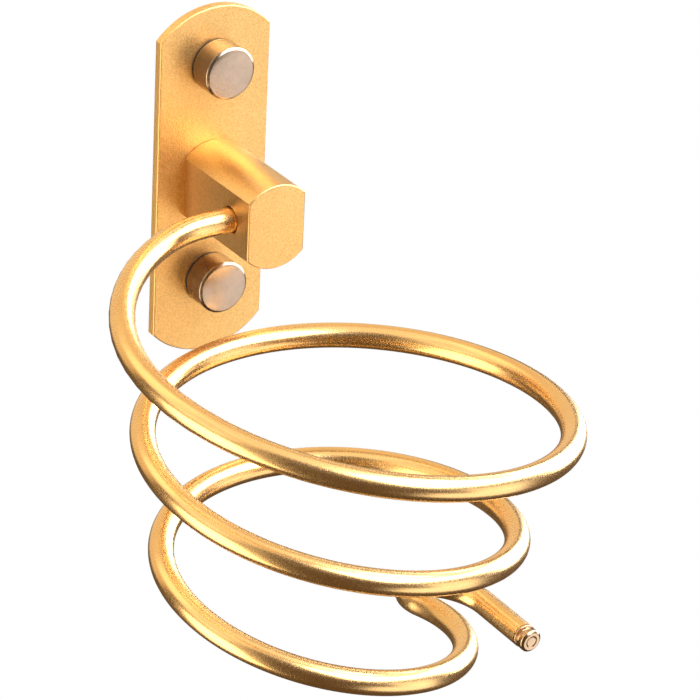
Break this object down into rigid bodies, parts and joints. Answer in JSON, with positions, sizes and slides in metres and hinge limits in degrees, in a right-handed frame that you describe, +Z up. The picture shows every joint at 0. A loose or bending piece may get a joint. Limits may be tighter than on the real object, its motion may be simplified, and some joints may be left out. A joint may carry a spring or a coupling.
{
  "type": "wall-mounted spiral hair dryer holder",
  "caption": "Satin gold wall plate with a short flatted post that carries a round rod coiled into a tapering spiral, which holds a hair dryer by its nozzle.",
  "frame": {"origin": "middle of the wall plate's back face, which lies against the wall", "axes": "+Y into the wall, so the holder stands out along -Y; +X to the right seen from the front; +Z up"},
  "size_m": [0.1087, 0.1471, 0.143],
  "materials": {
    "plate_gold": "satin, finely blasted",
    "post_gold": "satin, finely blasted",
    "rod_gold": "satin, drawn",
    "tip_champagne": "polished",
    "cap_champagne": "polished",
    "seat_steel": "turned",
    "washer_rubber": "matt",
    "screw_steel": "zinc plated",
    "plug_nylon": "matt"
  },
  "bodies": {
    "wall_mount": {"wall_plate": "plate_gold", "support_post": "post_gold", "spiral_rod": "rod_gold", "rod_end_tip": "tip_champagne", "rod_set_screw": "screw_steel", "post_screw_upper": "screw_steel", "wall_screw_upper": "screw_steel", "wall_plug_upper": "plug_nylon", "cap_seat_upper": "seat_steel", "post_screw_lower": "screw_steel", "wall_screw_lower": "screw_steel", "wall_plug_lower": "plug_nylon", "cap_seat_lower": "seat_steel"},
    "washer_upper": {"cap_washer_upper": "washer_rubber"},
    "cap_upper": {"screw_cap_upper": "cap_champagne"},
    "washer_lower": {"cap_washer_lower": "washer_rubber"},
    "cap_lower": {"screw_cap_lower": "cap_champagne"}
  },
  "joints": [
    {"name": "cap_upper_travel", "type": "slide", "parent": "wall_mount", "child": "washer_upper", "axis": [0, -1, 0], "range_m": [0, 0.0051]},
    {"name": "cap_upper_unscrew", "type": "hinge", "parent": "washer_upper", "child": "cap_upper", "pos_m": [0, -0.0066, 0.0303], "axis": [0, -1, 0], "range_deg": [0, 1800]},
    {"name": "cap_lower_travel", "type": "slide", "parent": "wall_mount", "child": "washer_lower", "axis": [0, -1, 0], "range_m": [0, 0.0051]},
    {"name": "cap_lower_unscrew", "type": "hinge", "parent": "washer_lower", "child": "cap_lower", "pos_m": [0, -0.0066, -0.0255], "axis": [0, -1, 0], "range_deg": [0, 1800]}
  ],
  "couplings": [
    {"joint": "cap_upper_travel", "follows": "cap_upper_unscrew", "m_per_rad": 0.00015915},
    {"joint": "cap_lower_travel", "follows": "cap_lower_unscrew", "m_per_rad": 0.00015915}
  ]
}
